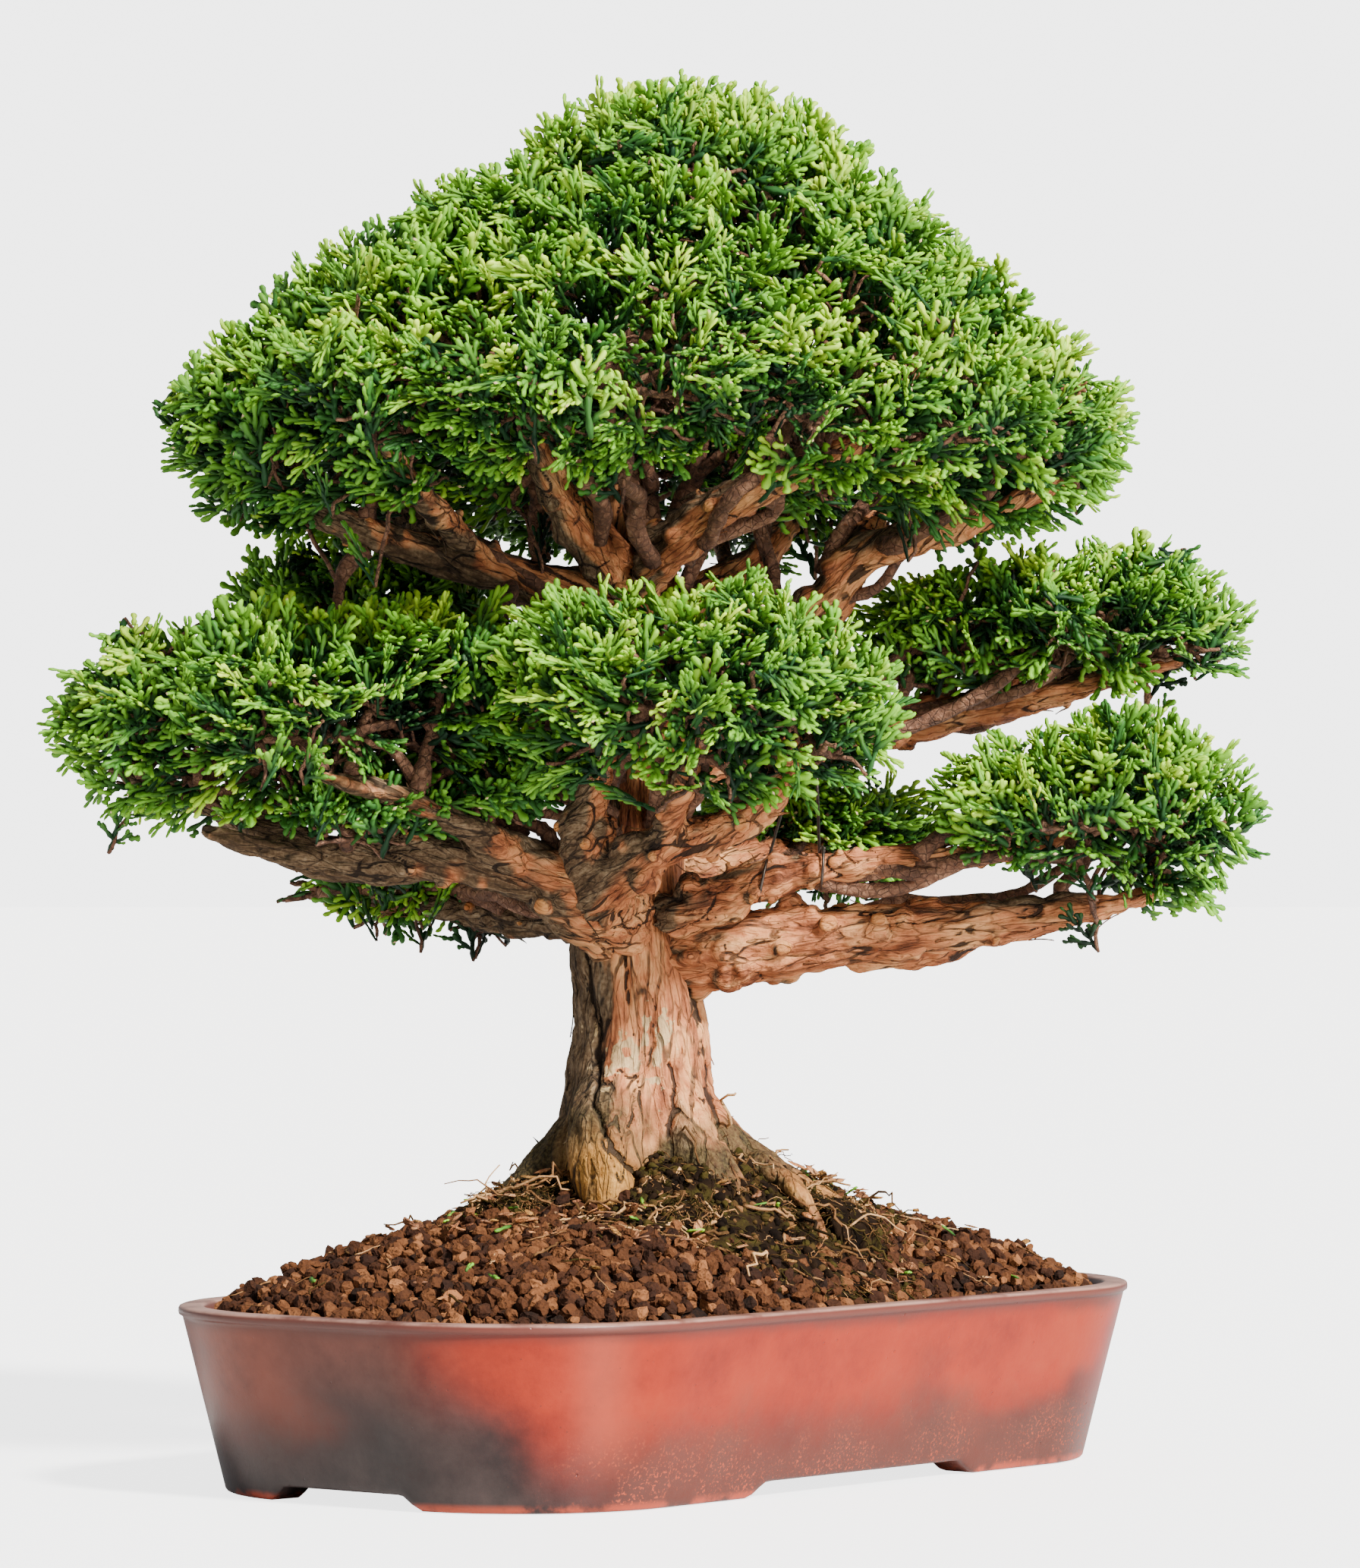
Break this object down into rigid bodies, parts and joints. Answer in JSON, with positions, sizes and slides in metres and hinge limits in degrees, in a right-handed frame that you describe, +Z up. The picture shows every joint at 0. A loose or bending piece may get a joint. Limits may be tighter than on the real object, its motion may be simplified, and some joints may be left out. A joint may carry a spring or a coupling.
{
  "type": "bonsai tree in a pot",
  "caption": "Dome-crowned cypress bonsai with flared roots and layered foliage tiers, planted in clay grains in a low rounded-rectangle fired clay pot on corner feet.",
  "frame": {"origin": "centre of the pot on the surface that its feet stand on", "axes": "+Z up, the tree's front faces -Y, the pot's long side is turned 51 degrees from +X towards +Y"},
  "size_m": [0.398, 0.3376, 0.4604],
  "materials": {
    "fired_clay": "semi-gloss unglazed clay with dark kiln flashing",
    "clay_grains": "matt porous grains",
    "moss_fibre": "dark damp moss and root fibre",
    "bark": "furrowed red-brown bark with grey flakes",
    "foliage": "waxy scale leaves, yellow-green at the tips and dark within",
    "wire": "dark anodised",
    "drain_mesh": "matt black"
  },
  "bodies": {
    "root": {"pot": "fired_clay", "drain_screen_left": "drain_mesh", "drain_screen_right": "drain_mesh", "screen_clip_left": "wire", "screen_clip_right": "wire", "soil": "clay_grains", "moss_left": "moss_fibre", "moss_front": "moss_fibre", "moss_right": "moss_fibre", "moss_back": "moss_fibre", "trunk": "bark", "left_limb": "bark", "front_limb": "bark", "right_limb": "bark", "right_strand": "bark", "right_upper_limb": "bark", "back_right_limb": "bark", "back_left_low_limb": "bark", "back_left_limb": "bark", "crown_left_limb": "bark", "crown_front_limb": "bark", "crown_centre_limb": "bark", "crown_right_limb": "bark", "crown_back_limb": "bark", "left_pad": "foliage", "front_pad": "foliage", "right_low_pad": "foliage", "right_upper_pad": "foliage", "back_right_pad": "foliage", "back_left_low_pad": "foliage", "back_left_pad": "foliage", "crown_top_pad": "foliage", "crown_left_pad": "foliage", "crown_right_pad": "foliage", "crown_front_pad": "foliage", "crown_back_pad": "foliage", "guy_wire_left": "wire", "guy_wire_right": "wire"}
  },
  "joints": []
}
